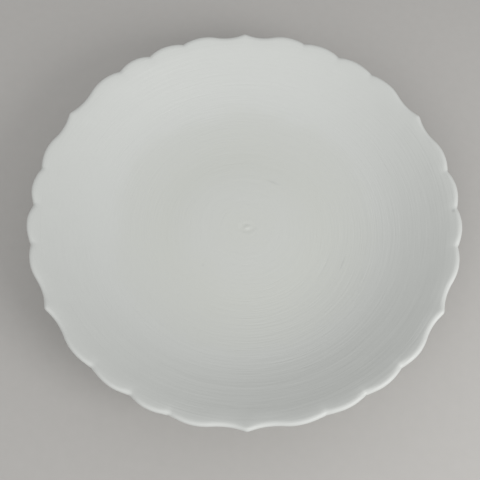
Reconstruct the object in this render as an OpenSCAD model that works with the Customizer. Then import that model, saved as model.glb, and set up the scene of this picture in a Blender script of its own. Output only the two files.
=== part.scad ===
// Deep plate of matt white stoneware: a shallow well, a wide sloping wall and a scalloped rim
// with pointed tips. The plate stands on a foot ring that is luted to its underside.
// Millimetres, +Z up. The origin is on the table under the middle of the plate, with one tip
// toward +Y. Sizes are those of the finished, glazed plate; the clay lies one glaze coat inside.

/* [Rim] */
// Number of pointed tips round the rim
tips = 6; // [5:1:8]
// Number of round lobes between two tips
lobes = 4; // [3:1:5]
// Radius of the plate at the top of a lobe
rim_r = 121; // [110:1:140]
// How far the two shoulders of a tip meet inside the reach of the lobe tops
tip_drop = 0.2; // [0:0.1:1]
// Radius of one lobe
lobe_r = 31; // [27:1:40]
// Radius of the hollow shoulder on each side of a tip
shoulder_r = 46; // [38:1:60]
// Radius of the blunted end of a tip
tip_r = 4; // [1:0.5:6]
// Room for a tip and its two shoulders, counted in lobes
tip_share = 1.3; // [1.2:0.1:1.7]
// Radius of the rounding over the upright cut edge
lip_r = 1.6; // [1.2:0.1:2]

/* [Bowl] */
// Radius of the nearly flat well
well_r = 44; // [34:1:50]
// Slope at the edge of the well, in degrees
well_slope = 3; // [1.5:0.5:5]
// Radius of the apron, where the bowl begins to turn up
apron_r = 66; // [58:1:70]
// Slope at the edge of the apron, in degrees
apron_slope = 11; // [8:0.5:15]
// Radius at which the wall becomes straight
wall_r = 97; // [93:1:102]
// Slope of the straight wall, in degrees
wall_slope = 35.5; // [30:0.5:41]
// Thickness of the wall
wall_t = 4.2; // [3.6:0.1:4.4]
// Thickness in the middle of the well
floor_t = 5.5; // [5:0.1:7]

/* [Foot] */
// Height of the foot recess
foot_h = 6.5; // [5:0.5:10]
// Middle radius of the foot ring
foot_r = 54; // [46:1:58]
// Width of the standing face
foot_w = 4.5; // [3:0.5:6]
// Thickening of the foot ring toward its root, on each side
foot_flare = 1.2; // [0.5:0.1:2]
// Bevel along the two edges of the standing face
foot_bevel = 0.8; // [0.4:0.1:1.2]
// Radius of the flat underside
under_r = 40; // [30:1:44]
// Thickness of the slip in the luted joint
slip_t = 0.6; // [0.4:0.1:1]

/* [Glaze] */
// Thickness of the glaze coat
glaze_t = 0.5; // [0.4:0.05:0.7]
// Height of the bare clay above the table
bare_h = 2.2; // [1.5:0.1:3]

/* [Hidden] */
$fn = 256;
// Straight steps along a lobe, a shoulder and half a tip, and flats round the lip
lobe_steps = 6;
shoulder_steps = 4;
tip_steps = 2;
lip_steps = 3;
// Share of a flat's turn by which the lip's last flat runs on over the face
run_on = 0.8;
// Room that the sections leave over the rim, outside it and under the table's level
over_rim = 10;
past_rim = 5;
under_foot = 1;
// Height of the foot's root over the flat underside, inside the body
root_h = 4;

// Bowl profile: a chain of arcs, each tangent to the next, given by radius and slope
well_z = foot_h + floor_t;
knots = [[0, 0], [well_r, well_slope], [apron_r, apron_slope], [wall_r, wall_slope]];
function arc_r(k) = (knots[k + 1][0] - knots[k][0]) / (sin(knots[k + 1][1]) - sin(knots[k][1]));
function knot_z(k) =
    k == 0 ? well_z : knot_z(k - 1) + arc_r(k - 1) * (cos(knots[k - 1][1]) - cos(knots[k][1]));
function arc_c(k) = [knots[k][0] - arc_r(k) * sin(knots[k][1]), knot_z(k) + arc_r(k) * cos(knots[k][1])];
function sunk_r(k, depth) = knots[k][0] + depth * sin(knots[k][1]);
wall_knot = len(knots) - 1;
wall_foot_z = knot_z(wall_knot);
function wall_z(r) = wall_foot_z + (r - wall_r) * tan(wall_slope);
top_z = wall_z(rim_r) + over_rim;
reach = rim_r + past_rim;

// Underside: flat over the foot, then one arc up to the back of the wall
back_drop = wall_t / cos(wall_slope);
corner_r = wall_r - (wall_foot_z - back_drop - foot_h) / tan(wall_slope);
belly_r = (corner_r - under_r) / tan(wall_slope / 2);

// Lip: flats that touch the rounding, and the depth at which the two coats meet on the cut edge
lip_bend = (90 + wall_slope) / (lip_steps + 1);
meet_d = (lip_r * (1 + sin(wall_slope)) + wall_t) / 2;

// Rim outline: circles of tip, shoulder and lobe that touch, met by a ray from the middle
sector = 360 / tips;
pitch = sector / (lobes + tip_share);
function lobe_a(j) = sector / 2 + (j - (lobes - 1) / 2) * pitch;
lobe_d = rim_r - lobe_r;
end_lobe = lobe_d * [cos(lobe_a(0)), sin(lobe_a(0))];
tip_top = [rim_r - tip_drop, 0];
function meet(p, a, q, b) =
    let (d = norm(q - p), e = (q - p) / d, x = (a * a - b * b + d * d) / (2 * d), y = sqrt(a * a - x * x))
    p + x * e + y * [-e[1], e[0]];
shoulder_c = meet(end_lobe, lobe_r + shoulder_r, tip_top, shoulder_r);
shoulder_d = norm(shoulder_c);
tip_c = [shoulder_c[0] - sqrt(pow(shoulder_r + tip_r, 2) - pow(shoulder_c[1], 2)), 0];
function angle(p) = atan2(p[1], p[0]);
function touch_angle(c, r) = angle(c + (shoulder_c - c) * r / (r + shoulder_r));
lobe_touch_a = touch_angle(end_lobe, lobe_r);
tip_touch_a = touch_angle(tip_c, tip_r);
function ray(d, r, a, side) = d * cos(a) + side * sqrt(pow(r, 2) - pow(d * sin(a), 2));
function near_lobe(a) = max(0, min(lobes - 1, round((a - lobe_a(0)) / pitch)));
function rim_at(a) =
    let (off_tip = min(a, sector - a))
    off_tip < tip_touch_a ? ray(tip_c[0], tip_r, off_tip, 1)
    : off_tip < lobe_touch_a ? ray(shoulder_d, shoulder_r, off_tip - angle(shoulder_c), -1)
    : ray(lobe_d, lobe_r, a - lobe_a(near_lobe(a)), 1);
function even(from, to, steps) = [for (s = [0 : steps - 1]) from + (to - from) * s / steps];
lobe_ends = concat(
    lobe_touch_a, [for (j = [0 : lobes - 2]) lobe_a(j) + pitch / 2], sector - lobe_touch_a
);
edge_angles = concat(
    even(0, tip_touch_a, tip_steps),
    even(tip_touch_a, lobe_touch_a, shoulder_steps),
    [for (j = [0 : lobes - 1]) each even(lobe_ends[j], lobe_ends[j + 1], lobe_steps)],
    even(sector - lobe_touch_a, sector - tip_touch_a, shoulder_steps),
    even(sector - tip_touch_a, sector, tip_steps)
);

module strip(from, to) {
    polygon([[from, -under_foot], [to, -under_foot], [to, top_z], [from, top_z]]);
}

// Everything above the straight wall, sunk into the plate by depth
module above_wall(depth) {
    start = sunk_r(wall_knot, depth);
    drop = depth / cos(wall_slope);
    polygon([[start, wall_z(start) - drop], [reach, wall_z(reach) - drop], [reach, top_z], [start, top_z]]);
}

// Everything above the bowl's face, sunk into the plate by depth
module above_face(depth) {
    for (k = [0 : wall_knot - 1])
        intersection() {
            translate(arc_c(k))
                circle(arc_r(k) + depth);
            strip(sunk_r(k, depth), sunk_r(k + 1, depth));
        }
    above_wall(depth);
}

// The face coat's side of the plate: it goes deeper only along the wall, to where the two coats meet
module face_side() {
    above_face(2 * glaze_t);
    above_wall(meet_d);
}

// Everything above the underside, raised into the plate by depth
module above_back(depth) {
    r = belly_r - depth;
    start = under_r + r * sin(wall_slope);
    drop = back_drop - depth / cos(wall_slope);
    translate([0, foot_h + depth])
        square([under_r, top_z - foot_h - depth]);
    intersection() {
        translate([under_r, foot_h + belly_r])
            circle(r);
        strip(under_r, start);
    }
    polygon([[start, wall_z(start) - drop], [reach, wall_z(reach) - drop], [reach, top_z], [start, top_z]]);
}

// Section of the foot ring, pared back by depth on both sides
module foot_section(depth) {
    half = foot_w / 2 + foot_bevel - depth;
    root = half + foot_flare;
    polygon([
        for (p = [[-half + foot_bevel, 0], [half - foot_bevel, 0], [half, foot_bevel],
                  [root, foot_h + root_h], [-root, foot_h + root_h], [-half, foot_bevel]])
            [foot_r + p[0], p[1]]
    ]);
}

// Blank with the scalloped outline, cut upright and rounded over into the face, pared back by depth
module rim_blank(depth) {
    lip = lip_r - depth;
    ring = lip_steps + 3;
    points = [
        for (t = [0 : tips - 1], a = edge_angles)
            let (r = rim_at(a) - lip_r, z = wall_z(r) - lip_r / cos(wall_slope), turn = 90 + t * sector + a)
            for (j = [-1 : lip_steps + 1])
                let (
                    k = max(0, min(lip_steps, j)),
                    past = lip_bend * (k < lip_steps ? 0.5 : run_on),
                    b = k * lip_bend + past,
                    x = r + lip * cos(b) / cos(past),
                    y = j < 0 ? 0 : j > lip_steps ? top_z : z + lip * sin(b) / cos(past)
                )
                [x * cos(turn), x * sin(turn), y]
    ];
    count = tips * len(edge_angles);
    polyhedron(points, concat(
        [[for (i = [0 : count - 1]) i * ring]],
        [[for (i = [count - 1 : -1 : 0]) i * ring + ring - 1]],
        [
            for (i = [0 : count - 1], j = [0 : ring - 2])
                let (n = ((i + 1) % count) * ring, p = i * ring)
                for (f = [[p + j, p + j + 1, n + j + 1], [p + j, n + j + 1, n + j]])
                    f
        ]
    ));
}

// Turns a section round the plate's axis, with the seam half way along a lobe's facet
module turned() {
    rotate(pitch / 4)
        rotate_extrude()
            children();
}

// Turns a section and cuts it to the scalloped outline
module rimmed(depth) {
    intersection() {
        turned()
            children();
        rim_blank(depth);
    }
}

module clay_body() {
    color("#d9d0c0")
        rimmed(glaze_t)
            difference() {
                above_back(glaze_t);
                above_face(glaze_t);
            }
}

module foot_ring() {
    color("#cfc4b2")
        turned()
            difference() {
                foot_section(glaze_t);
                above_back(glaze_t - slip_t);
            }
}

module luting_slip() {
    color("#b8ab98")
        turned()
            difference() {
                intersection() {
                    foot_section(glaze_t);
                    above_back(glaze_t - slip_t);
                }
                above_back(glaze_t);
            }
}

module face_glaze() {
    color("#eceee9")
        difference() {
            rimmed(0)
                difference() {
                    face_side();
                    above_face(0);
                }
            clay_body();
        }
}

module back_glaze() {
    color("#e4e6e1")
        difference() {
            rimmed(0)
                difference() {
                    union() {
                        above_back(0);
                        foot_section(0);
                    }
                    face_side();
                    foot_section(glaze_t);
                    strip(0, foot_r);
                    square([reach, bare_h]);
                }
            clay_body();
        }
}

module foot_well_glaze() {
    color("#e4e6e1")
        turned()
            difference() {
                union() {
                    above_back(0);
                    foot_section(0);
                }
                above_back(glaze_t);
                foot_section(glaze_t);
                translate([foot_r, 0])
                    square([reach, top_z]);
                square([reach, bare_h]);
            }
}

clay_body();
foot_ring();
luting_slip();
face_glaze();
back_glaze();
foot_well_glaze();
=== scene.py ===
"""Looks of the deep plate: matt white glazed stoneware with a scalloped rim, dressed over its CAD frame."""

import logging
import math
from dataclasses import dataclass
from enum import Enum

import bpy
import numpy as np
from mathutils import Matrix


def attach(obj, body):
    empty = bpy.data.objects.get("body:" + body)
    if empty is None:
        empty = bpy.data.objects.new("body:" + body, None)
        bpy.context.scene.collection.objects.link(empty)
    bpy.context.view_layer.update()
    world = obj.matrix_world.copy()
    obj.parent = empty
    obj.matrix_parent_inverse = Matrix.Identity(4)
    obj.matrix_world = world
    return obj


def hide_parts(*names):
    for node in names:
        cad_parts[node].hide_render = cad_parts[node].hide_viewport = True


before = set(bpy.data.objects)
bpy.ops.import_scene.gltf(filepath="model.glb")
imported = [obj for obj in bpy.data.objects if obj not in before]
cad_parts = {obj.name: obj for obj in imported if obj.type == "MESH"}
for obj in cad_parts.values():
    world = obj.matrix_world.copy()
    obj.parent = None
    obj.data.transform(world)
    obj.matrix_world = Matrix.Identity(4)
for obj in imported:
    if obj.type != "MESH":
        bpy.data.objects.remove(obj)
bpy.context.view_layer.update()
MM = 0.001
# Edges of a skin that turn by more degrees than this stay crisp
SEAM_ANGLE = 60.0

log = logging.getLogger("deep_plate")


class Slot(Enum):
    """Material slots named in the record; nothing in this script uses them."""

    STONEWARE = "stoneware"
    MATT_GLAZE = "matt_glaze"


class Join(Enum):
    """How the rings of a lofted skin close."""

    POLES = "both ends close on a point"
    LOOP = "the last ring joins the first"


def linear(hex_colour: str) -> tuple[float, float, float, float]:
    """Turns an sRGB hex value into linear RGBA.

    Args:
        hex_colour: a value such as "#C8CAC6".

    Returns:
        Linear red, green, blue and an alpha of 1.
    """
    values = [int(hex_colour[i:i + 2], 16) / 255 for i in (1, 3, 5)]
    r, g, b = (v / 12.92 if v <= 0.04045 else ((v + 0.055) / 1.055) ** 2.4 for v in values)
    return (r, g, b, 1.0)


def add_node(tree: bpy.types.NodeTree, kind: str, settings: dict | None = None,
             links: dict | None = None) -> bpy.types.Node:
    """Adds one shader node.

    Args:
        tree: the node tree that gets the node.
        kind: the node's type name.
        settings: values for inputs, by name or number, and for the node's own properties.
        links: sockets to join to inputs, by name or number.

    Returns:
        The new node.
    """
    node = tree.nodes.new(kind)
    for key, value in (settings or {}).items():
        if isinstance(key, int) or key in node.inputs:
            node.inputs[key].default_value = value
        else:
            setattr(node, key, value)
    for key, socket in (links or {}).items():
        tree.links.new(socket, node.inputs[key])
    return node


def put(name: str, data: bpy.types.ID) -> bpy.types.Object:
    """Sets a mesh, a lamp or a camera in the scene.

    Args:
        name: the new object's name.
        data: what the object shows.

    Returns:
        The new object.
    """
    thing = bpy.data.objects.new(name, data)
    bpy.context.scene.collection.objects.link(thing)
    return thing


def pose(axes: list[np.ndarray], place: np.ndarray) -> Matrix:
    """Makes the matrix of a thing in the scene.

    Args:
        axes: directions of its x, y and z axes.
        place: where it stands, in metres.

    Returns:
        The matrix.
    """
    matrix = np.eye(4)
    matrix[:3, :3] = np.stack(axes, axis=1)
    matrix[:3, 3] = place
    return Matrix(matrix.tolist())


def new_material(name: str) -> tuple[bpy.types.Material, bpy.types.NodeTree, bpy.types.Node]:
    """Makes an empty material with a Principled shader.

    Args:
        name: the material's name.

    Returns:
        The material, its node tree and the shader node.
    """
    material = bpy.data.materials.new(name)
    material.use_nodes = True
    tree = material.node_tree
    tree.nodes.clear()
    shader = add_node(tree, "ShaderNodeBsdfPrincipled")
    add_node(tree, "ShaderNodeOutputMaterial", links={"Surface": shader.outputs["BSDF"]})
    return material, tree, shader


@dataclass(frozen=True)
class Fleck:
    """A small dark mark laid over the coat's colour: the plate has dark streaks, specks and one painted
    shadow of this kind.

    Its place, half length and half width are in mm and its turn in degrees; share says how much it shows.
    """

    x: float
    y: float
    along: float
    across: float
    turn: float
    share: float


@dataclass(frozen=True)
class MattGlaze:
    """Matt white stoneware glaze, poured over a thrown and turned body.

    The coat is opaque and full of tiny crystals, so it scatters light broadly and shows only a soft
    sheen. Its tints by radius are matched to the tone seen there: a shade warmer in the well, a shade
    darker on the apron as painted shade, and a shade bluer on the wall as painted sky reflection. Along
    the lip, where it is thin, it is a hair darker as painted shade. It lets the turning lines of the clay
    show as faint strokes.
    """

    # Tints by radius in mm, from the middle of the well to the wall, matched to the tone there: warmer in
    # the well, darker on the apron as painted shade, bluer on the wall as painted sky reflection
    tints: tuple[tuple[float, str], ...] = (
        (0.0, "#C6C8C3"), (24.0, "#C6C8C4"), (46.0, "#C4C6C1"), (73.0, "#C4C6C2"), (82.0, "#C6C8C5"),
    )
    # Colour of the lip, where the coat is thin: a hair darker than the wall, as painted shade
    thin: str = "#C5C7C4"
    # Colour and places of two dark streaks, two specks of the clay and a painted shadow in the thumb press
    # beside a notch
    mark_and_shade: str = "#8A8E8E"
    flecks: tuple[Fleck, ...] = (
        Fleck(18.0, 31.0, along=6.2, across=1.2, turn=-24.0, share=0.15),
        Fleck(57.4, -23.9, along=7.0, across=0.9, turn=67.0, share=0.17),
        Fleck(-24.6, -24.1, along=1.3, across=1.1, turn=0.0, share=0.13),
        Fleck(-30.4, 17.2, along=1.3, across=1.1, turn=20.0, share=0.06),
        # Painted shadow inside the thumb press at the notch on +X
        Fleck(116.7, -2.0, along=1.3, across=1.8, turn=0.0, share=0.3),
    )
    roughness: float = 0.5
    ior: float = 1.5
    rim_r_mm: float = 121.0
    # Clouds that shift the tints, and the grain of tiny crystals
    cloud_mm: float = 30.0
    cloud_detail: float = 3.0
    cloud_drift_mm: float = 9.0
    grain_mm: float = 0.5
    grain_detail: float = 2.0
    grain_depth_mm: float = 0.004
    # Part of the grain noise over which the roughness changes, and by how much it does to each side
    grain_span: tuple[float, float] = (0.3, 0.7)
    grain_rough: float = 0.05
    # Turning lines: pitch and depth in mm, and how often the noise changes within a turn. They are
    # drawn about twice as deep as a finger would feel them, so that they show at this distance.
    line_pitch_mm: float = 1.2
    line_depth_mm: float = 0.15
    line_changes: float = 3.2
    # Share of the lines' depth that the pooled coat leaves in the well, and the radii over which it grows
    well_lines: float = 0.58
    well_r_mm: float = 35.0
    wall_r_mm: float = 85.0
    scratch_pitch_mm: float = 1.3
    scratch_depth_mm: float = 0.03
    scratch_changes: float = 1.2
    # Only the highest ridges of the scratch noise count, as thin grooves
    groove_span: tuple[float, float] = (0.6, 0.68)
    stroke_detail: float = 2.5
    stroke_roughness: float = 0.55

    def strokes(self, tree: bpy.types.NodeTree, flat: bpy.types.NodeSocket, pitch_mm: float,
                changes: float) -> bpy.types.Node:
        """Adds noise that is short across the turning lines and long round the plate.

        Args:
            tree: the material's node tree.
            flat: the place on the plate with its height left out.
            pitch_mm: distance from one line to the next.
            changes: radius of the circle on which the noise is read, in noise steps.

        Returns:
            The noise node.
        """
        radius = add_node(tree, "ShaderNodeVectorMath", {"operation": "LENGTH"}, {0: flat})
        way = add_node(tree, "ShaderNodeVectorMath", {"operation": "NORMALIZE"}, {0: flat})
        turn = add_node(tree, "ShaderNodeVectorMath", {"operation": "SCALE", "Scale": changes},
                        {0: way.outputs[0]})
        step = add_node(tree, "ShaderNodeMath", {"operation": "MULTIPLY", 1: 1 / (pitch_mm * MM)},
                        {0: radius.outputs["Value"]})
        rise = add_node(tree, "ShaderNodeCombineXYZ", links={2: step.outputs[0]})
        polar = add_node(tree, "ShaderNodeVectorMath", {"operation": "ADD"},
                         {0: turn.outputs[0], 1: rise.outputs[0]})
        return add_node(tree, "ShaderNodeTexNoise",
                        {"Scale": 1.0, "Detail": self.stroke_detail, "Roughness": self.stroke_roughness},
                        {"Vector": polar.outputs[0]})

    def tint(self, tree: bpy.types.NodeTree, place: bpy.types.NodeSocket,
             flat: bpy.types.NodeSocket) -> bpy.types.NodeSocket:
        """Adds the coat's colour: tints by radius with a drifting edge, then the thin coat of the lip; both
        carry some painted light and shade.

        Args:
            tree: the material's node tree.
            place: the place on the plate.
            flat: the same with its height left out.

        Returns:
            The colour socket.
        """
        radius = add_node(tree, "ShaderNodeVectorMath", {"operation": "LENGTH"}, {0: flat})
        clouds = add_node(tree, "ShaderNodeTexNoise",
                          {"Scale": 1 / (self.cloud_mm * MM), "Detail": self.cloud_detail}, {"Vector": place})
        drift = self.cloud_drift_mm * MM
        shift = add_node(tree, "ShaderNodeMapRange", {"To Min": -drift, "To Max": drift},
                         {"Value": clouds.outputs["Fac"]})
        wavy = add_node(tree, "ShaderNodeMath", {"operation": "ADD"},
                        {0: radius.outputs["Value"], 1: shift.outputs[0]})
        outward = add_node(tree, "ShaderNodeMath", {"operation": "DIVIDE", 1: self.rim_r_mm * MM},
                           {0: wavy.outputs[0]})
        ramp = add_node(tree, "ShaderNodeValToRGB", links={"Fac": outward.outputs[0]})
        stops = ramp.color_ramp.elements
        while len(stops) < len(self.tints):
            stops.new(1.0)
        for stop, (r, colour) in zip(stops, self.tints):
            stop.position = r / self.rim_r_mm
            stop.color = linear(colour)
        edge = add_node(tree, "ShaderNodeAttribute", {"attribute_name": "thin_coat_and_shade"})
        coat = add_node(tree, "ShaderNodeMix", {"data_type": "RGBA", 7: linear(self.thin)},
                        {0: edge.outputs["Fac"], 6: ramp.outputs["Color"]})
        return coat.outputs[2]

    def flecked(self, tree: bpy.types.NodeTree, flat: bpy.types.NodeSocket,
                coat: bpy.types.NodeSocket) -> bpy.types.NodeSocket:
        """Lays the flecks, the painted shadow at a notch among them, over the coat's colour.

        Args:
            tree: the material's node tree.
            flat: the place on the plate with its height left out.
            coat: the colour without flecks.

        Returns:
            The colour socket.
        """
        for fleck in self.flecks:
            spot = add_node(tree, "ShaderNodeMapping",
                            {"vector_type": "TEXTURE", "Location": (fleck.x * MM, fleck.y * MM, 0.0),
                             "Rotation": (0.0, 0.0, math.radians(fleck.turn)),
                             "Scale": (fleck.along * MM, fleck.across * MM, 1.0)}, {"Vector": flat})
            off = add_node(tree, "ShaderNodeVectorMath", {"operation": "LENGTH"}, {0: spot.outputs[0]})
            shown = add_node(tree, "ShaderNodeMapRange",
                             {"interpolation_type": "SMOOTHSTEP", "To Min": fleck.share, "To Max": 0.0},
                             {"Value": off.outputs["Value"]})
            mark = add_node(tree, "ShaderNodeMix", {"data_type": "RGBA", 7: linear(self.mark_and_shade)},
                            {0: shown.outputs[0], 6: coat})
            coat = mark.outputs[2]
        return coat

    def build(self) -> bpy.types.Material:
        """Makes the glaze's material.

        Returns:
            The material.
        """
        material, tree, shader = new_material("matt_white_stoneware_glaze")
        place = add_node(tree, "ShaderNodeTexCoord").outputs["Object"]
        axes = add_node(tree, "ShaderNodeSeparateXYZ", links={0: place})
        flat = add_node(tree, "ShaderNodeCombineXYZ",
                        links={0: axes.outputs["X"], 1: axes.outputs["Y"]}).outputs[0]
        colour = self.flecked(tree, flat, self.tint(tree, place, flat))
        tree.links.new(colour, shader.inputs["Base Color"])
        grain = add_node(tree, "ShaderNodeTexNoise",
                         {"Scale": 1 / (self.grain_mm * MM), "Detail": self.grain_detail}, {"Vector": place})
        rough = add_node(tree, "ShaderNodeMapRange",
                         {"From Min": self.grain_span[0], "From Max": self.grain_span[1],
                          "To Min": self.roughness - self.grain_rough,
                          "To Max": self.roughness + self.grain_rough}, {"Value": grain.outputs["Fac"]})
        tree.links.new(rough.outputs[0], shader.inputs["Roughness"])
        lines = self.strokes(tree, flat, self.line_pitch_mm, self.line_changes)
        marks = self.strokes(tree, flat, self.scratch_pitch_mm, self.scratch_changes)
        grooves = add_node(tree, "ShaderNodeMapRange",
                           {"From Min": self.groove_span[0], "From Max": self.groove_span[1],
                            "To Min": 1.0, "To Max": 0.0}, {"Value": marks.outputs["Fac"]})
        bumps = add_node(tree, "ShaderNodeBump", {"Distance": self.grain_depth_mm * MM},
                         {"Height": grain.outputs["Fac"]})
        radius = add_node(tree, "ShaderNodeVectorMath", {"operation": "LENGTH"}, {0: flat})
        depth = add_node(tree, "ShaderNodeMapRange",
                         {"From Min": self.well_r_mm * MM, "From Max": self.wall_r_mm * MM,
                          "To Min": self.well_lines, "To Max": 1.0}, {"Value": radius.outputs["Value"]})
        bumps = add_node(tree, "ShaderNodeBump", {"Distance": self.line_depth_mm * MM},
                         {"Height": lines.outputs["Fac"], "Strength": depth.outputs[0],
                          "Normal": bumps.outputs[0]})
        bumps = add_node(tree, "ShaderNodeBump", {"Distance": self.scratch_depth_mm * MM},
                         {"Height": grooves.outputs[0], "Normal": bumps.outputs[0]})
        tree.links.new(bumps.outputs[0], shader.inputs["Normal"])
        shader.inputs["IOR"].default_value = self.ior
        return material


@dataclass(frozen=True)
class BareStoneware:
    """Unglazed stoneware, sponged and fired: a dry buff clay with fine grog that catches no highlight."""

    name: str = "bare_fired_stoneware"
    colour: str = "#CFC3AE"
    grog: str = "#B7A88F"
    roughness: float = 0.85
    ior: float = 1.52
    # Specks of grog, and the part of their noise that shows as specks
    grog_mm: float = 0.9
    grog_detail: float = 4.0
    grog_span: tuple[float, float] = (0.5, 0.72)
    # Tooth of the dry surface
    tooth_mm: float = 0.3
    tooth_detail: float = 3.0
    tooth_depth_mm: float = 0.05
    tooth_strength: float = 0.6

    def build(self) -> bpy.types.Material:
        """Makes the bare clay's material.

        Returns:
            The material.
        """
        material, tree, shader = new_material(self.name)
        place = add_node(tree, "ShaderNodeTexCoord").outputs["Object"]
        grog = add_node(tree, "ShaderNodeTexNoise",
                        {"Scale": 1 / (self.grog_mm * MM), "Detail": self.grog_detail}, {"Vector": place})
        specks = add_node(tree, "ShaderNodeMapRange",
                          {"From Min": self.grog_span[0], "From Max": self.grog_span[1]},
                          {"Value": grog.outputs["Fac"]})
        clay = add_node(tree, "ShaderNodeMix",
                        {"data_type": "RGBA", 6: linear(self.colour), 7: linear(self.grog)},
                        {0: specks.outputs[0]})
        tree.links.new(clay.outputs[2], shader.inputs["Base Color"])
        tooth = add_node(tree, "ShaderNodeTexNoise",
                         {"Scale": 1 / (self.tooth_mm * MM), "Detail": self.tooth_detail}, {"Vector": place})
        bump = add_node(tree, "ShaderNodeBump",
                        {"Distance": self.tooth_depth_mm * MM, "Strength": self.tooth_strength},
                        {"Height": tooth.outputs["Fac"]})
        tree.links.new(bump.outputs[0], shader.inputs["Normal"])
        shader.inputs["Roughness"].default_value = self.roughness
        shader.inputs["IOR"].default_value = self.ior
        return material


@dataclass(frozen=True)
class StudioFloor:
    """Matt painted studio board: pale grey, without sheen, so that the plate reads as the white thing."""

    colour: str = "#B4B2AF"
    fleck: str = "#B0AEAB"
    roughness: float = 0.95
    fleck_mm: float = 6.0
    fleck_detail: float = 3.0

    def build(self) -> bpy.types.Material:
        """Makes the floor's material.

        Returns:
            The material.
        """
        material, tree, shader = new_material("matt_painted_board")
        place = add_node(tree, "ShaderNodeTexCoord").outputs["Object"]
        clouds = add_node(tree, "ShaderNodeTexNoise",
                          {"Scale": 1 / (self.fleck_mm * MM), "Detail": self.fleck_detail}, {"Vector": place})
        board = add_node(tree, "ShaderNodeMix",
                         {"data_type": "RGBA", 6: linear(self.colour), 7: linear(self.fleck)},
                         {0: clouds.outputs["Fac"]})
        tree.links.new(board.outputs[2], shader.inputs["Base Color"])
        shader.inputs["Roughness"].default_value = self.roughness
        return material


@dataclass(frozen=True)
class HandCut:
    """A tip or notch that was cut by hand a little off its even place.

    It is the tip itself where notch is 0, and otherwise a notch after it. It lies off by degrees along the
    rim and by mm outward.
    """

    tip: int
    notch: int
    along: float
    out: float


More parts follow.
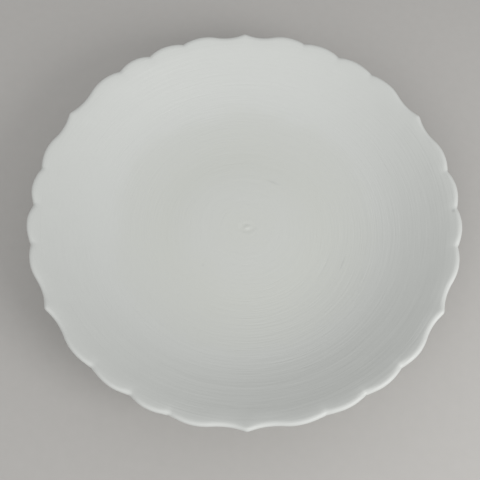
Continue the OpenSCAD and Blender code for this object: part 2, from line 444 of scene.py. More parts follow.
@dataclass(frozen=True)
class PlateForm:
    """Sizes of the plate in millimetres, and the surfaces that follow from them.

    Angles round the rim are in degrees, counted from the tip toward +Y. The face is a chain of arcs,
    each tangent to the next; the back is flat over the foot and then one arc up to the wall.
    """

    # Rim: its tips, the lobes between two of them, and the circles that make the outline
    tips: int = 6
    lobes: int = 4
    rim_r: float = 121.0
    tip_drop: float = 0.2
    lobe_r: float = 31.0
    shoulder_r: float = 46.0
    tip_r: float = 4.0
    tip_share: float = 1.3
    # Bowl: radii at which its arcs end and the slopes there in degrees, and its thickness
    well_r: float = 44.0
    well_slope: float = 3.0
    apron_r: float = 66.0
    apron_slope: float = 11.0
    wall_r: float = 97.0
    wall_slope: float = 35.5
    wall_t: float = 4.2
    floor_t: float = 5.5
    # Foot, the flat underside, the coat, the bare clay over the table and the foot's root in the body
    foot_h: float = 6.5
    foot_r: float = 54.0
    foot_w: float = 4.5
    foot_flare: float = 1.2
    foot_bevel: float = 0.8
    under_r: float = 40.0
    glaze_t: float = 0.5
    bare_h: float = 2.2
    root_h: float = 4.0
    # Lip: rounding over the cut edge at eight even steps round the rim, as the sponge left it, rounding
    # under it, and lean of the cut's normal from upright in degrees
    lip_r: tuple[float, ...] = (1.95, 1.98, 1.9, 1.55, 1.57, 1.8, 1.73, 1.78)
    heel_r: float = 0.8
    cut_lean: float = 112.0
    # Slow waves that cutting by hand left in the rim: count, height in mm, phase in degrees
    hand_waves: tuple[tuple[int, float, float], ...] = ((3, 0.1, 155.0), (6, 0.15, 100.0), (8, 0.1, 5.0))
    # Tips and notches that lie visibly off their even places, and degrees over which their reach fades
    hand_cuts: tuple[HandCut, ...] = (
        HandCut(tip=0, notch=1, along=0.4, out=0.3),
        HandCut(tip=0, notch=3, along=-1.2, out=0.1),
        HandCut(tip=1, notch=2, along=-0.3, out=-0.7),
        HandCut(tip=2, notch=0, along=-0.3, out=0.4),
        HandCut(tip=2, notch=1, along=0.4, out=0.1),
        HandCut(tip=2, notch=2, along=0.7, out=-0.5),
        HandCut(tip=3, notch=0, along=0.0, out=0.4),
        HandCut(tip=3, notch=1, along=0.6, out=0.4),
        HandCut(tip=4, notch=0, along=-0.5, out=0.3),
        HandCut(tip=5, notch=1, along=0.4, out=0.5),
        HandCut(tip=5, notch=2, along=0.4, out=0.1),
        HandCut(tip=5, notch=3, along=0.4, out=0.5),
    )
    reach_width: float = 2.5
    # Where the thrown face leaves its even arcs: radius in mm and degrees added to the slope. The wall
    # steepens toward the rim, and the last few millimetres lie over into the lip.
    hand_lean: tuple[tuple[float, float], ...] = (
        (46.0, 0.0), (55.0, 0.8), (62.0, 1.3), (66.0, 1.3), (72.0, 0.0), (88.0, -0.3), (94.0, -0.6),
        (99.0, -1.8), (103.0, -0.3), (106.0, 0.8), (109.0, 2.1), (111.0, 2.5), (113.0, 1.8), (114.0, 0.8),
        (115.0, -0.6), (116.0, -2.5), (117.0, -4.5), (118.0, -6.5), (120.0, -8.5),
    )
    # Radius at which the wall begins to follow the scallops and width over which it comes to do so in
    # full, and the number of points at which its height is added up
    scallop_from: float = 85.0
    scallop_over: float = 20.0
    lift_points: int = 1211
    # Direction of the face above the wall's own where the lip's rounding takes over, in degrees
    lip_turn: float = 82.0
    # Thumb press at each notch: depth, reach from the edge in mm, and half width in degrees
    press_depth: float = 0.45
    press_reach: float = 6.0
    press_width: float = 1.9
    # Columns of the skins along a lobe or a shoulder, and along half a tip
    steps: int = 16
    tip_steps: int = 3

    @property
    def slope(self) -> float:
        """Slope of the straight wall in radians."""
        return math.radians(self.wall_slope)

    @property
    def sector(self) -> float:
        """Angle from one tip to the next."""
        return 360.0 / self.tips

    @property
    def pitch(self) -> float:
        """Angle from one lobe to the next."""
        return self.sector / (self.lobes + self.tip_share)

    def lobe_angle(self, index: np.ndarray | int) -> np.ndarray | float:
        """Angle of a lobe's middle within its sector."""
        return self.sector / 2 + (index - (self.lobes - 1) / 2) * self.pitch

    def first_lobe(self) -> np.ndarray:
        """Centre of the lobe beside the tip."""
        turn = math.radians(self.lobe_angle(0))
        return (self.rim_r - self.lobe_r) * np.array([math.cos(turn), math.sin(turn)])

    def shoulder(self) -> np.ndarray:
        """Finds the hollow shoulder, which touches the first lobe and would run to the tip's point.

        Returns:
            The centre of its circle.
        """
        lobe = self.first_lobe()
        point = np.array([self.rim_r - self.tip_drop, 0.0])
        gap = float(np.linalg.norm(point - lobe))
        ahead = (point - lobe) / gap
        outer = self.lobe_r + self.shoulder_r
        along = (outer ** 2 - self.shoulder_r ** 2 + gap ** 2) / (2 * gap)
        aside = math.sqrt(outer ** 2 - along ** 2)
        return lobe + along * ahead + aside * np.array([-ahead[1], ahead[0]])

    def tip(self) -> np.ndarray:
        """Centre of the tip's blunted end, which touches both shoulders."""
        x, y = self.shoulder()
        return np.array([x - math.sqrt((self.shoulder_r + self.tip_r) ** 2 - y ** 2), 0.0])

    def touch(self, centre: np.ndarray, radius: float) -> float:
        """Angle at which a circle touches the shoulder."""
        x, y = centre + (self.shoulder() - centre) * radius / (radius + self.shoulder_r)
        return math.degrees(math.atan2(y, x))

    def touches(self) -> tuple[float, float]:
        """Angles at which the shoulder touches the tip's end and the first lobe."""
        return self.touch(self.tip(), self.tip_r), self.touch(self.first_lobe(), self.lobe_r)

    def inner_notches(self) -> list[float]:
        """Angles of the notches between the lobes of one sector."""
        return [self.lobe_angle(j) + self.pitch / 2 for j in range(self.lobes - 1)]

    def all_round(self, one: list[float]) -> np.ndarray:
        """Angles of one sector, repeated round the rim."""
        return np.array([t * self.sector + a for t in range(self.tips) for a in one])

    def marks(self) -> np.ndarray:
        """Even angles of the tips, each with the notches after it."""
        return self.all_round([0.0, *self.inner_notches()])

    def strays(self) -> tuple[np.ndarray, np.ndarray]:
        """Spreads the hand cuts over all the tips and notches.

        Returns:
            Degrees along the rim and millimetres outward by which each one is off its even place.
        """
        off = np.zeros((2, self.tips, self.lobes))
        for cut in self.hand_cuts:
            off[:, cut.tip, cut.notch] = cut.along, cut.out
        return off[0].ravel(), off[1].ravel()

    def strayed(self, angles: np.ndarray) -> np.ndarray:
        """Angles at which the hand cut what belongs at these even angles."""
        return angles + np.interp(angles, self.marks(), self.strays()[0], period=360)

    def evened(self, angles: np.ndarray) -> np.ndarray:
        """Even angles of places on the rim as it was cut."""
        along = self.strays()[0]
        return angles - np.interp(angles, self.marks() + along, along, period=360)

    def notches(self) -> np.ndarray:
        """Angles of all the notches between lobes, as they were cut."""
        return self.strayed(self.all_round(self.inner_notches()))

    def columns(self) -> np.ndarray:
        """Chooses the angles at which the skins are sampled, with one on every tip and in every notch.

        Returns:
            The angles as the rim was cut, in degrees.
        """
        tip, lobe = self.touches()
        breaks = [-tip, tip, lobe, *self.inner_notches(), self.sector - lobe, self.sector - tip]
        counts = [2 * self.tip_steps] + [self.steps] * (len(breaks) - 2)
        one = np.concatenate([np.linspace(a, b, n, endpoint=False)
                              for a, b, n in zip(breaks[:-1], breaks[1:], counts)])
        return self.strayed(self.all_round(one.tolist()))

    @staticmethod
    def ray(distance: float, radius: float, angles: np.ndarray, side: int) -> np.ndarray:
        """Reach of rays from the plate's middle to the near (-1) or far (1) side of a circle.

        Args:
            distance: distance of the circle's centre.
            radius: radius of the circle.
            angles: angles between each ray and the circle's centre, in degrees.
            side: which of the two crossings counts.

        Returns:
            The reach of each ray in millimetres.
        """
        t = np.radians(angles)
        return distance * np.cos(t) + side * np.sqrt(np.maximum(radius ** 2 - (distance * np.sin(t)) ** 2, 0))

    def rim(self, angles: np.ndarray) -> np.ndarray:
        """Radius of the scalloped outline.

        Args:
            angles: angles round the rim in degrees.

        Returns:
            The radius at each angle in millimetres.
        """
        even_a = self.evened(angles)
        a = even_a % self.sector
        off_tip = np.minimum(a, self.sector - a)
        x, y = self.shoulder()
        hollow = self.ray(math.hypot(x, y), self.shoulder_r, off_tip - math.degrees(math.atan2(y, x)), -1)
        end = self.ray(float(self.tip()[0]), self.tip_r, off_tip, 1)
        index = np.clip(np.round((a - self.lobe_angle(0)) / self.pitch), 0, self.lobes - 1)
        lobe = self.ray(self.rim_r - self.lobe_r, self.lobe_r, a - self.lobe_angle(index), 1)
        tip_a, lobe_a = self.touches()
        even = np.where(off_tip < tip_a, end, np.where(off_tip < lobe_a, hollow, lobe))
        apart = (even_a[:, None] - self.marks() + 180) % 360 - 180
        reach = np.exp(-(apart / self.reach_width) ** 2) @ self.strays()[1]
        hand = sum(h * np.cos(np.radians(n * angles + p)) for n, h, p in self.hand_waves)
        return even + reach + hand

    def arcs(self) -> list[tuple[float, float, float, float, float]]:
        """Works out the tangent arcs of the face.

        Returns:
            For each arc its start, end and arc radius, and its centre's radius and height.
        """
        knots = [(0.0, 0.0), (self.well_r, self.well_slope), (self.apron_r, self.apron_slope),
                 (self.wall_r, self.wall_slope)]
        z = self.foot_h + self.floor_t
        chain = []
        for (r0, s0), (r1, s1) in zip(knots[:-1], knots[1:]):
            s0, s1 = math.radians(s0), math.radians(s1)
            arc = (r1 - r0) / (math.sin(s1) - math.sin(s0))
            chain.append((r0, r1, arc, r0 - arc * math.sin(s0), z + arc * math.cos(s0)))
            z += arc * (math.cos(s0) - math.cos(s1))
        return chain

    def wall_z(self, r: np.ndarray | float) -> np.ndarray | float:
        """Height of the straight wall's face at a radius."""
        arc, _, centre_z = self.arcs()[-1][2:]
        return centre_z - arc * math.cos(self.slope) + (r - self.wall_r) * math.tan(self.slope)

    def face(self, r: np.ndarray) -> tuple[np.ndarray, np.ndarray]:
        """Height and slope of the face.

        Args:
            r: radii in millimetres.

        Returns:
            Heights in millimetres and slopes in radians.
        """
        z = np.asarray(self.wall_z(r), float).copy()
        lean = np.full_like(z, self.slope)
        for r0, r1, arc, centre_r, centre_z in self.arcs():
            inside = (r >= r0) & (r < r1)
            turn = np.arcsin(np.clip((r[inside] - centre_r) / arc, -1, 1))
            z[inside] = centre_z - arc * np.cos(turn)
            lean[inside] = turn
        return z, lean

    def back(self, r: np.ndarray) -> tuple[np.ndarray, np.ndarray]:
        """Height and slope of the back.

        Args:
            r: radii in millimetres.

        Returns:
            Heights in millimetres and slopes in radians.
        """
        drop = self.wall_t / math.cos(self.slope)
        corner = self.wall_r - (self.wall_z(self.wall_r) - drop - self.foot_h) / math.tan(self.slope)
        belly = (corner - self.under_r) / math.tan(self.slope / 2)
        turn = np.arcsin(np.clip((r - self.under_r) / belly, 0, math.sin(self.slope)))
        arc = self.foot_h + belly * (1 - np.cos(turn))
        straight = r >= self.under_r + belly * math.sin(self.slope)
        return np.where(straight, self.wall_z(r) - drop, arc), turn

    @property
    def cut_turn(self) -> float:
        """Direction of the cut edge's normal, in degrees above the wall's own direction."""
        return 90 - self.cut_lean - self.wall_slope

    def nose(self, angles: np.ndarray, turn: float, depth: float = 0.0) -> tuple[np.ndarray, np.ndarray]:
        """Points of the lip in the plate's section.

        Args:
            angles: angles round the rim in degrees.
            turn: direction of the surface above the wall's own, from 90 at the face to -90 at the back.
            depth: how far inside the finished surface the points lie.

        Returns:
            How far the points lie outward and upward of the wall's middle line, in millimetres.
        """
        over = turn >= self.cut_turn
        places = np.linspace(0, 360, len(self.lip_r), endpoint=False)
        round_r = np.interp(angles, places, self.lip_r, period=360) if over else self.heel_r
        side = (self.wall_t / 2 - round_r) * (1 if over else -1)
        cut, t = math.radians(self.cut_turn), math.radians(turn)
        u = (-round_r - math.sin(cut) * side) / math.cos(cut) + (round_r - depth) * math.cos(t)
        v = side + (round_r - depth) * math.sin(t)
        lean = self.slope
        return u * math.cos(lean) - v * math.sin(lean), u * math.sin(lean) + v * math.cos(lean)

    def lip(self, angles: np.ndarray, turn: float, depth: float) -> tuple[np.ndarray, np.ndarray]:
        """One ring of the rounded lip.

        Args:
            angles: angles round the rim in degrees.
            turn: direction of the surface, as in nose().
            depth: how far inside the finished surface the ring lies.

        Returns:
            Radii and heights in millimetres.
        """
        out, up = self.nose(angles, turn, depth)
        r = self.rim(angles) - self.nose(angles, -self.wall_slope)[0]
        return r + out, self.wall_z(r) - self.wall_t / 2 / math.cos(self.slope) + up

    def hand_lift(self, angles: np.ndarray, r: np.ndarray) -> np.ndarray:
        """Height of the thrown face over its even arcs, in millimetres.

        Args:
            angles: angles round the rim in degrees.
            r: radius at each angle.

        Returns:
            The height at each angle. Near the rim it follows the scallops, further in it is round.
        """
        fade = np.clip((r - self.scallop_from) / self.scallop_over, 0, 1)
        even_r = r + (self.rim_r - self.rim(angles)) * fade
        knots, leans = zip(*self.hand_lean)
        grid = np.linspace(0, self.rim_r, self.lift_points)
        rise = np.radians(np.interp(grid, knots, leans)) / np.cos(self.face(grid)[1])
        height = np.concatenate([[0.0], np.cumsum((rise[1:] + rise[:-1]) / 2) * grid[1]])
        return np.interp(even_r, grid, height)

    def press(self, angles: np.ndarray, r: np.ndarray) -> np.ndarray:
        """Depth to which the thumb pressed the wall at the notches.

        Args:
            angles: angles round the rim in degrees.
            r: radius at each angle.

        Returns:
            The depth at each angle in millimetres.
        """
        apart = np.abs((angles[:, None] - self.notches()[None, :] + 180) % 360 - 180).min(axis=1)
        across = np.clip(1 - (apart / self.press_width) ** 2, 0, 1) ** 2
        inward = np.clip(1 - (self.rim(angles) - r) / self.press_reach, 0, 1) ** 2
        return self.press_depth * across * inward

    def foot_side(self, z: np.ndarray, out: int, depth: float = 0.0) -> np.ndarray:
        """Radius of a side of the foot ring.

        Args:
            z: heights over the table.
            out: 1 for the ring's outer side, -1 for its inner side.
            depth: how far inside the finished surface it is taken.

        Returns:
            The radius at each height in millimetres.
        """
        half = self.foot_w / 2 + self.foot_bevel - depth
        flare = self.foot_flare * (z - self.foot_bevel) / (self.foot_h + self.root_h - self.foot_bevel)
        return self.foot_r + out * (half + flare)


def lofted(name: str, rings: list[np.ndarray], join: Join) -> bpy.types.Object:
    """Makes a closed skin through rings of points.

    Args:
        name: the object's name.
        rings: rings of points in millimetres, each an array of columns by 3. Where the skin ends on
            poles, the first and last rings are single points.
        join: how the rings close.

    Returns:
        The new object, with smooth faces that look outward.
    """
    poles = [rings[0][0], rings[-1][0]] if join is Join.POLES else []
    body = rings[1:-1] if poles else rings
    count, cols = len(body), len(body[0])
    points = np.concatenate([np.concatenate(body), np.array(poles).reshape(-1, 3)])
    here = np.arange(cols)
    after = (here + 1) % cols
    faces: list[tuple[int, ...]] = []
    for i in range(count if join is Join.LOOP else count - 1):
        low, high = i * cols, (i + 1) % count * cols
        faces += np.stack([low + here, low + after, high + after, high + here], axis=1).tolist()
    if poles:
        first, last = count * cols, count * cols + 1
        faces += [(first, int(b), int(a)) for a, b in zip(here, after)]
        base = (count - 1) * cols
        faces += [(last, int(base + a), int(base + b)) for a, b in zip(here, after)]
    corners = points[[f[:3] for f in faces]]
    if np.einsum("ij,ij->i", corners[:, 0], np.cross(corners[:, 1], corners[:, 2])).sum() < 0:
        faces = [tuple(reversed(f)) for f in faces]
    mesh = bpy.data.meshes.new(name)
    mesh.from_pydata((points * MM).tolist(), [], faces)
    mesh.shade_smooth()
    mesh.set_sharp_from_angle(angle=math.radians(SEAM_ANGLE))
    return put(name, mesh)


def ring_at(angles: np.ndarray, r: np.ndarray | float, z: np.ndarray | float) -> np.ndarray:
    """Points of one ring.

    Args:
        angles: angles in degrees from the tip toward +Y.
        r: radius, one value or one for each angle.
        z: height, one value or one for each angle.

    Returns:
        An array of points in millimetres.
    """
    turn = np.radians(angles + 90)
    r = np.broadcast_to(r, angles.shape)
    return np.stack([r * np.cos(turn), r * np.sin(turn), np.broadcast_to(z, angles.shape)], axis=1)


@dataclass
class Coating:
    """Shared ways to lay a coat on the plate's form."""

    form: PlateForm
    # Rings from the last round one to the scalloped edge, and over half of the lip
    blend_rings: int = 21
    lip_rings: int = 10
    # The clay side takes only every third ring of the lip
    lip_skip: int = 3
    # Radius of the last round ring, and step between rings on the clay side
    round_r: float = 103.0
    hidden_step: float = 8.0
    # Distance from the edge over which the thin coat of the lip, with its painted shade, gives way to the
    # full one
    thin_reach: float = 2.5

    @staticmethod
    def rounds(angles: np.ndarray, start: float, stop: float, step: float) -> list[np.ndarray]:
        """Radii of round rings, each with one value for every column."""
        return [np.full_like(angles, r) for r in np.arange(start, stop, step)]

    def sunk(self, angles: np.ndarray, r: np.ndarray, depth: float, lift: np.ndarray | float,
             top: bool) -> np.ndarray:
        """One ring on the face or the back.

        Args:
            angles: angles of the columns.
            r: radius at each column.
            depth: how far inside the finished surface the ring lies.
            lift: relief that stands out of the surface.
            top: True on the face, False on the back.

        Returns:
            The ring's points.
        """
        z, lean = self.form.face(r) if top else self.form.back(r)
        out = (lift - depth) * (1 if top else -1) - self.form.press(angles, r)
        if top:
            out = out + self.form.hand_lift(angles, r)
        return ring_at(angles, r - out * np.sin(lean), z + out * np.cos(lean))

    def lip_ring(self, angles: np.ndarray, turn: float, depth: float) -> np.ndarray:
        """One ring of the lip, with the thumb presses.

        Args:
            angles: angles of the columns.
            turn: direction of the surface, as the form's nose() takes it.
            depth: how far inside the finished surface the ring lies.

        Returns:
            The ring's points.
        """
        r, z = self.form.lip(angles, turn, depth)
        out = -self.form.press(angles, r)
        return ring_at(angles, r - out * math.sin(self.form.slope), z + out * math.cos(self.form.slope))

    def edge_r(self, angles: np.ndarray, top: bool) -> np.ndarray:
        """Radius at which the lip's rounding meets the face or the back."""
        return self.form.lip(angles, self.form.lip_turn if top else -90, 0)[0]

    def mark_thin_coat_and_shade(self, piece: bpy.types.Object) -> None:
        """Writes where the coat is thin and takes the lip's colour with its painted shade, as an attribute
        from 0 inside the plate to 1 along the lip.

        Args:
            piece: the built coat.
        """
        points = np.empty(len(piece.data.vertices) * 3)
        piece.data.vertices.foreach_get("co", points)
        x, y, _ = (points.reshape(-1, 3) / MM).T
        turn = np.degrees(np.arctan2(y, x)) - 90
        inside = self.form.rim(turn) - np.hypot(x, y)
        thin = np.exp(-np.clip(inside, 0, None) / self.thin_reach)
        layer = piece.data.attributes.new("thin_coat_and_shade", "FLOAT", "POINT")
        layer.data.foreach_set("value", thin)


@dataclass
class FaceCoat(Coating):
    """Glaze on the face: well, apron, wall and the upper half of the lip."""

    ring_step: float = 0.9
    # Waves of the thrower's fingers: pitch and height in mm, and turns of drift round the plate
    waves: tuple[tuple[float, float, int], ...] = ((6.6, 0.016, 1), (4.7, 0.008, -1), (3.3, 0.007, 1))
    # Share of their height that stays, share that comes and goes, and mm outward for one radian of it
    swell: tuple[float, float, float] = (0.6, 0.4, 21.0)
    # Radius where they start, width over which they grow, and distance from the rim where they fade
    wave_from: float = 4.0
    wave_grow: float = 12.0
    wave_fade: float = 10.0
    # The ring where the turning tool stopped, and the shares of its depth that stay and that come and go
    # round the plate, with the phase in radians
    stop_r: float = 78.0
    stop_depth: float = 0.03
    stop_w: float = 0.9
    stop_sway: tuple[float, float, float] = (0.7, 0.3, 0.6)
    # The curl left under the last finger, a little off the plate's axis and wider than deep
    curl_at: tuple[float, float] = (1.6, 0.6)
    curl_r: float = 3.6
    curl_pitch: float = 5.0
    curl_h: float = 0.26
    curl_stretch: float = 1.4
    curl_wander: float = 0.3

    def curl(self, turn: np.ndarray, r: np.ndarray) -> np.ndarray:
        """Height of the curl in the middle of the well.

        Args:
            turn: angles of the columns in radians.
            r: radius at each column.

        Returns:
            The height at each column in millimetres.
        """
        off = r * np.exp(1j * (turn + math.pi / 2)) - complex(*self.curl_at)
        off = off.real / self.curl_stretch + 1j * off.imag
        wander = self.curl_wander * np.sin(np.angle(off))
        swirl = np.cos(2 * math.pi * np.abs(off) / self.curl_pitch - wander)
        return self.curl_h * np.exp(-(np.abs(off) / self.curl_r) ** 2) * swirl

    def relief(self, angles: np.ndarray, r: np.ndarray) -> np.ndarray:
        """Height of the turning marks above the even face.

        Args:
            angles: angles of the columns in degrees.
            r: radius at each column.

        Returns:
            The height at each column in millimetres.
        """
        turn = np.radians(angles)
        lift = np.zeros_like(r)
        stays, sways, outward = self.swell
        for pitch, height, drift in self.waves:
            swell = stays + sways * np.sin(turn * drift + r / outward)
            lift += height * swell * np.sin(2 * math.pi * r / pitch + drift * turn)
        grow = np.clip((r - self.wave_from) / self.wave_grow, 0, 1)
        lift *= grow * np.clip((self.form.rim(angles) - r) / self.wave_fade, 0, 1)
        stays, sways, phase = self.stop_sway
        groove = np.exp(-((r - self.stop_r) / self.stop_w) ** 2)
        lift -= self.stop_depth * groove * (stays + sways * np.cos(turn + phase))
        return lift + self.curl(turn, r)

    def build(self) -> bpy.types.Object:
        """Builds the closed coat, finished side first and clay side after.

        Returns:
            The built coat.
        """
        a = self.form.columns()
        edge = self.edge_r(a, True)
        shares = np.linspace(0, 1, self.blend_rings)[1:]
        fine = self.rounds(a, self.ring_step, self.round_r, self.ring_step)
        fine += [self.round_r + t * (edge - self.round_r) for t in shares]
        rings = [ring_at(a[:1], 0.0, self.form.face(np.zeros(1))[0])]
        rings += [self.sunk(a, r, 0.0, self.relief(a, r), True) for r in fine]
        turns = np.linspace(self.form.lip_turn, self.form.cut_turn, self.lip_rings)
        rings += [self.lip_ring(a, t, 0.0) for t in turns[1:]]
        under = self.form.glaze_t
        rings += [self.lip_ring(a, t, under) for t in turns[::-1][::self.lip_skip]]
        coarse = self.rounds(a, self.hidden_step, self.round_r, self.hidden_step)
        rings += [self.sunk(a, r, under, 0.0, True) for r in coarse[::-1]]
        rings.append(ring_at(a[:1], 0.0, self.form.face(np.zeros(1))[0] - under))
        piece = lofted("face_coat", rings, Join.POLES)
        self.mark_thin_coat_and_shade(piece)
        return piece


@dataclass
class BackCoat(Coating):
    """Glaze on the back: lower half of the lip, wall, belly and the foot's outer side."""

    ring_step: float = 1.2
    # Fillet at the foot: size, rings, and distance of the foot's root from the ring's middle radius
    fillet: float = 3.0
    fillet_rings: int = 7
    root_off: float = 4.0
    # Gap between the fillet and the nearest ring of the finished side and of the clay side
    root_gap: float = 0.6
    hidden_gap: float = 4.0
    # Ridges of the trimming tool: pitch and height in mm, radius where they start, width over which
    # they grow, and distance from the rim where they fade
    ridge_pitch: float = 4.2
    ridge_h: float = 0.018
    ridge_from: float = 60.0
    ridge_grow: float = 4.0
    ridge_fade: float = 12.0
    # Waves of the wiped edge: count, height in mm, phase in radians
    wipe_waves: tuple[tuple[int, float, float], ...] = ((3, 0.14, 0.7), (7, 0.09, 0.0))
    # Rounded edge of the coat: height and depth in mm, and the degrees at which its rings lie
    bead_h: float = 0.35
    bead_depth: float = 0.25
    bead_turns: tuple[float, ...] = (30.0, 60.0, 90.0, 130.0)

    def relief(self, angles: np.ndarray, r: np.ndarray) -> np.ndarray:
        """Height of the trimming ridges.

        Args:
            angles: angles of the columns in degrees.
            r: radius at each column.

        Returns:
            The height at each column in millimetres.
        """
        grow = np.clip((r - self.ridge_from) / self.ridge_grow, 0, 1)
        fade = grow * np.clip((self.form.rim(angles) - r) / self.ridge_fade, 0, 1)
        return self.ridge_h * fade * np.sin(2 * math.pi * r / self.ridge_pitch + np.radians(angles))

    def bare_line(self, angles: np.ndarray) -> np.ndarray:
        """Height of the wiped edge of the coat above the table."""
        waves = sum(h * np.sin(n * np.radians(angles) + p) for n, h, p in self.wipe_waves)
        return self.form.bare_h + waves

    def under_z(self, r: float) -> float:
        """Height of the underside at a radius."""
        return float(self.form.back(np.array([r]))[0][0])

    def foot_rings(self, angles: np.ndarray, out: int, depth: float) -> list[np.ndarray]:
        """Rings from the fillet at the foot's root down to the bare line.

        Args:
            angles: angles of the columns.
            out: 1 for the ring's outer side, -1 for its inner side.
            depth: how far inside the finished surface the rings lie.

        Returns:
            Rings from the root down.
        """
        root_z = self.under_z(self.form.foot_r + out * self.root_off) + depth
        root_r = float(self.form.foot_side(np.array(root_z), out, depth))
        start_r = root_r + out * self.fillet
        start_z = self.under_z(start_r) + depth
        end_z = root_z - self.fillet
        end_r = float(self.form.foot_side(np.array(end_z), out, depth))
        rings = []
        for t in np.linspace(0, 1, self.fillet_rings):
            r = (1 - t) ** 2 * start_r + 2 * t * (1 - t) * root_r + t ** 2 * end_r
            z = (1 - t) ** 2 * start_z + 2 * t * (1 - t) * root_z + t ** 2 * end_z
            rings.append(ring_at(angles, r, z))
        low = self.bare_line(angles) + self.bead_h
        for t in (0.5, 1.0):
            z = end_z + t * (low - end_z)
            rings.append(ring_at(angles, self.form.foot_side(z, out, depth), z))
        return rings

    def bead(self, angles: np.ndarray, out: int) -> list[np.ndarray]:
        """Rings of the coat's rounded edge.

        Args:
            angles: angles of the columns.
            out: 1 for the ring's outer side, -1 for its inner side.

        Returns:
            Rings from the coat's outside to the clay.
        """
        low = self.bare_line(angles)
        rings = []
        for turn in np.radians(self.bead_turns):
            z = low + self.bead_h * (1 - math.sin(turn))
            depth = self.bead_depth * (1 - math.cos(turn))
            rings.append(ring_at(angles, self.form.foot_side(z, out, depth), z))
        return rings

    def build(self) -> bpy.types.Object:
        """Builds the closed coat, finished side first and clay side after.

        Returns:
            The built coat.
        """
        a = self.form.columns()
        edge = self.edge_r(a, False)
        under = self.form.glaze_t
        shares = np.linspace(1, 0, self.blend_rings)[1:-1]
        foot = self.foot_rings(a, 1, 0.0)
        foot_r = float(np.hypot(*foot[0][0][:2]))
        turns = np.linspace(self.form.cut_turn, -90, self.lip_rings)
        rings = [self.lip_ring(a, t, 0.0) for t in turns]
        fine = [self.round_r + t * (edge - self.round_r) for t in shares]
        fine += self.rounds(a, self.round_r, foot_r + self.root_gap, -self.ring_step)
        rings += [self.sunk(a, r, 0.0, self.relief(a, r), False) for r in fine]
        rings += foot + self.bead(a, 1)
        rings += self.foot_rings(a, 1, under)[::-1]
        coarse = self.rounds(a, foot_r + self.hidden_gap, self.round_r, self.hidden_step)
        rings += [self.sunk(a, r, under, 0.0, False) for r in coarse]
        rings += [self.lip_ring(a, t, under) for t in turns[::-1][::self.lip_skip]]
        piece = lofted("back_coat", rings, Join.LOOP)
        self.mark_thin_coat_and_shade(piece)
        return piece


@dataclass
class FootWellCoat(BackCoat):
    """Glaze inside the foot ring: the recess and the ring's inner side."""

    ring_step: float = 0.8
    root_gap: float = 0.4
    cols: int = 240
    # Spiral of the trimming tool: pitch and height, and widths over which it grows and fades
    spiral_pitch: float = 6.0
    spiral_h: float = 0.05
    spiral_grow: float = 6.0
    spiral_fade: float = 4.0
    # Radii between which the clay side has rings
    hidden_from: float = 40.0
    hidden_to: float = 4.0

    def build(self) -> bpy.types.Object:
        """Builds the closed patch with the trimming spiral in its finished side.

        Returns:
            The built coat.
        """
        a = np.linspace(0, 360, self.cols, endpoint=False)
        under = self.form.glaze_t
        turn = np.radians(a)
        foot = self.foot_rings(a, -1, 0.0)
        last = float(np.hypot(*foot[0][0][:2]))
        rings = [ring_at(a[:1], 0.0, self.form.foot_h)]
        for r in np.arange(self.ring_step, last - self.root_gap, self.ring_step):
            fade = min(1.0, r / self.spiral_grow) * min(1.0, (last - r) / self.spiral_fade)
            wave = self.spiral_h * fade * np.sin(2 * math.pi * r / self.spiral_pitch - turn)
            rings.append(ring_at(a, r, self.under_z(r) + wave))
        rings += foot + self.bead(a, -1)
        rings += self.foot_rings(a, -1, under)[::-1]
        rings += [ring_at(a, r, self.under_z(r) + under)
                  for r in np.arange(self.hidden_from, self.hidden_to, -self.hidden_step)]
        rings.append(ring_at(a[:1], 0.0, self.form.foot_h + under))
        piece = lofted("foot_well_coat", rings, Join.POLES)
        self.mark_thin_coat_and_shade(piece)
        return piece


@dataclass
class ClayCore(Coating):
    """Clay body under the coats. It shows nowhere, but it fills the plate as the real one does."""

    # Gap that keeps the clay clear of the coats, and rings over the lip
    gap: float = 0.05
    nose_rings: int = 11

    def build(self) -> bpy.types.Object:
        """Builds the body from the middle of the face, over the lip, to the middle of the back.

        Returns:
            The built body.
        """
        a = self.form.columns()
        depth = self.form.glaze_t + self.gap
        radii = self.rounds(a, self.hidden_step, self.round_r, self.hidden_step)
        rings = [ring_at(a[:1], 0.0, self.form.face(np.zeros(1))[0] - depth)]
        rings += [self.sunk(a, r, depth, 0.0, True) for r in radii]
        rings += [self.lip_ring(a, t, depth) for t in np.linspace(90, -90, self.nose_rings)]
        rings += [self.sunk(a, r, depth, 0.0, False) for r in radii[::-1]]
        rings.append(ring_at(a[:1], 0.0, self.form.foot_h + depth))
        return lofted("clay_core", rings, Join.POLES)


@dataclass
class FootRing:
    """Ring of bare clay that the plate stands on, with sponged edges."""

    form: PlateForm
    cols: int = 240
    # Rounding of the lower edges and the degrees at which its rings lie, heights of the rings above it,
    # and how far the ring runs up past the level of the underside
    soft: float = 0.9
    soft_turns: tuple[float, ...] = (0.0, 22.0, 45.0, 68.0, 90.0)
    side_z: tuple[float, ...] = (4.5, 2.6, 1.6)
    rise: float = 0.3

    def build(self) -> bpy.types.Object:
        """Builds the ring from its section, with the two lower edges rounded.

        Returns:
            The built ring.
        """
        form, depth = self.form, self.form.glaze_t
        a = np.linspace(0, 360, self.cols, endpoint=False)
        heights = (form.foot_h + self.rise, *self.side_z)
        path = [(float(form.foot_side(np.array(z), 1, depth)), z) for z in heights]
        for out in (1, -1):
            side = float(form.foot_side(np.array(self.soft), out, depth))
            arc = [(side - out * self.soft * (1 - math.cos(t)), self.soft * (1 - math.sin(t)))
                   for t in np.radians(self.soft_turns)]
            path += arc if out == 1 else arc[::-1]
        path += [(float(form.foot_side(np.array(z), -1, depth)), z) for z in heights[::-1]]
        return lofted("foot_ring_bare", [ring_at(a, r, z) for r, z in path], Join.LOOP)


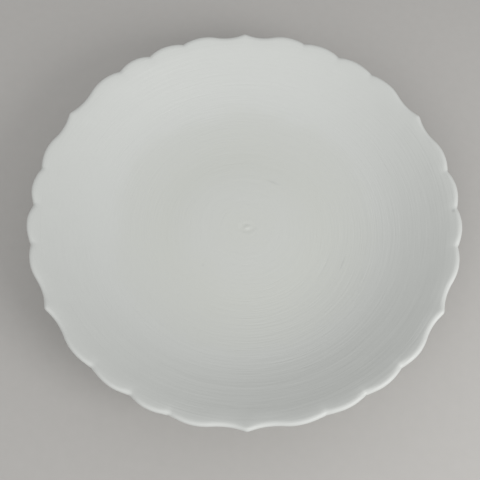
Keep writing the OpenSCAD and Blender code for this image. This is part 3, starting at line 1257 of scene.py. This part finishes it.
@dataclass
class Plate:
    """The whole plate: its coats, its clay and its foot."""

    form: PlateForm
    glaze: MattGlaze
    clay: BareStoneware
    slip: BareStoneware

    def dress(self, piece: bpy.types.Object, node: str, material: bpy.types.Material) -> None:
        """Sets one built piece in the place of its CAD node.

        Args:
            piece: the built piece.
            node: the CAD node that it stands for.
            material: the finish.
        """
        piece.data.materials.append(material)
        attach(piece, "root")
        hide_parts(node)
        log.info("%s stands for %s: %d points", piece.name, node, len(piece.data.vertices))

    def build(self) -> None:
        """Builds every piece and gives the buried slip its finish."""
        coat, clay, slip = self.glaze.build(), self.clay.build(), self.slip.build()
        self.dress(FaceCoat(self.form).build(), "face_glaze", coat)
        self.dress(BackCoat(self.form).build(), "back_glaze", coat)
        self.dress(FootWellCoat(self.form).build(), "foot_well_glaze", coat)
        self.dress(ClayCore(self.form).build(), "clay_body", clay)
        self.dress(FootRing(self.form).build(), "foot_ring", clay)
        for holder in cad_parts["luting_slip"].material_slots:
            holder.material = slip
        log.info("luting_slip keeps its CAD shape")


@dataclass(frozen=True)
class Lamp:
    """A round soft box that looks at the plate. Metres, watts and degrees; azimuth counts from +X."""

    name: str
    watts: float
    size: float
    distance: float
    azimuth: float
    elevation: float

    def place(self) -> None:
        """Sets the lamp in the scene."""
        light = bpy.data.lights.new(self.name, "AREA")
        light.shape = "DISK"
        light.size = self.size
        light.energy = self.watts
        az, el = math.radians(self.azimuth), math.radians(self.elevation)
        way = np.array([math.cos(el) * math.cos(az), math.cos(el) * math.sin(az), math.sin(el)])
        side = np.cross([0, 0, 1], way) / math.cos(el)
        put(self.name, light).matrix_world = pose([side, np.cross(way, side), way], way * self.distance)


@dataclass
class Studio:
    """Floor, light and camera."""

    floor: StudioFloor
    floor_size: float = 40.0
    sky: str = "#FFFFFF"
    sky_strength: float = 0.578
    lamps: tuple[Lamp, ...] = (
        Lamp("key", watts=2.32, size=0.35, distance=0.72, azimuth=-38.5, elevation=36.0),
        Lamp("fill", watts=6.1, size=1.2, distance=1.6, azimuth=-124.0, elevation=45.0),
    )
    # Camera: picture, focal length and the rim's middle in pixels, angles in degrees, distance in mm from
    # the middle of the rim, whose height in mm is rim_z
    sensor_mm: float = 36.0
    clip_m: float = 0.01
    image: float = 480.0
    focal_px: float = 616.5
    rim_px: tuple[float, float] = (245.80, 206.72)
    rim_z: float = 42.5
    distance: float = 346.45
    elevation: float = 64.56
    roll: float = 3.63
    azimuth: float = -3.56

    def set_floor(self) -> None:
        """Lays the floor under the plate."""
        half = self.floor_size / 2
        mesh = bpy.data.meshes.new("floor")
        corners = [(-half, -half, 0), (half, -half, 0), (half, half, 0), (-half, half, 0)]
        mesh.from_pydata(corners, [], [(0, 1, 2, 3)])
        mesh.materials.append(self.floor.build())
        ground = put("floor", mesh)

    def set_light(self) -> None:
        """Sets an even sky and the soft lamps."""
        world = bpy.data.worlds.new("studio")
        world.use_nodes = True
        back = world.node_tree.nodes["Background"]
        back.inputs["Color"].default_value = linear(self.sky)
        back.inputs["Strength"].default_value = self.sky_strength
        bpy.context.scene.world = world
        for lamp in self.lamps:
            lamp.place()

    def set_camera(self) -> None:
        """Places the camera where the photograph was taken from."""
        e = math.radians(self.elevation)
        place = np.array([0, -math.cos(e), math.sin(e)]) * self.distance
        ahead = -place / self.distance
        right = np.array([1.0, 0, 0])
        axes = Matrix(np.stack([right, np.cross(ahead, right), ahead]).tolist())
        axes = Matrix.Rotation(math.radians(self.roll), 3, "Z") @ axes
        ray = np.array([self.rim_px[0] - self.image / 2, self.rim_px[1] - self.image / 2, self.focal_px])
        ray /= np.linalg.norm(ray)
        hinge = np.cross([0, 0, 1], ray)
        axes = Matrix.Rotation(math.acos(ray[2]), 3, hinge.tolist()) @ axes
        x, down, forward = (np.array(row) for row in axes)
        stand = pose([x, -down, -forward], (place + [0, 0, self.rim_z]) * MM)
        lens = bpy.data.cameras.new("camera")
        lens.sensor_width = self.sensor_mm
        lens.lens = self.sensor_mm * self.focal_px / self.image
        lens.clip_start = self.clip_m
        camera = put("camera", lens)
        camera.matrix_world = Matrix.Rotation(math.radians(self.azimuth), 4, "Z") @ stand
        bpy.context.scene.camera = camera

    def build(self) -> None:
        """Sets the floor, the light and the camera."""
        bpy.context.scene.view_settings.view_transform = "Standard"
        self.set_floor()
        self.set_light()
        self.set_camera()
        log.info("studio set")


def write_sizes() -> None:
    """Logs that no boxes are written; it measures and writes nothing."""
    log.info("boxes written")


def main() -> None:
    """Builds the plate and its studio, and reports each piece."""
    logging.basicConfig(level=logging.INFO, format="%(name)s: %(message)s")
    slip = BareStoneware(name="fired_joining_slip", colour="#B8AB98", grog="#A99B86")
    Plate(PlateForm(), MattGlaze(), BareStoneware(), slip).build()
    Studio(StudioFloor()).build()
    write_sizes()


if __name__ == "__main__":
    main()
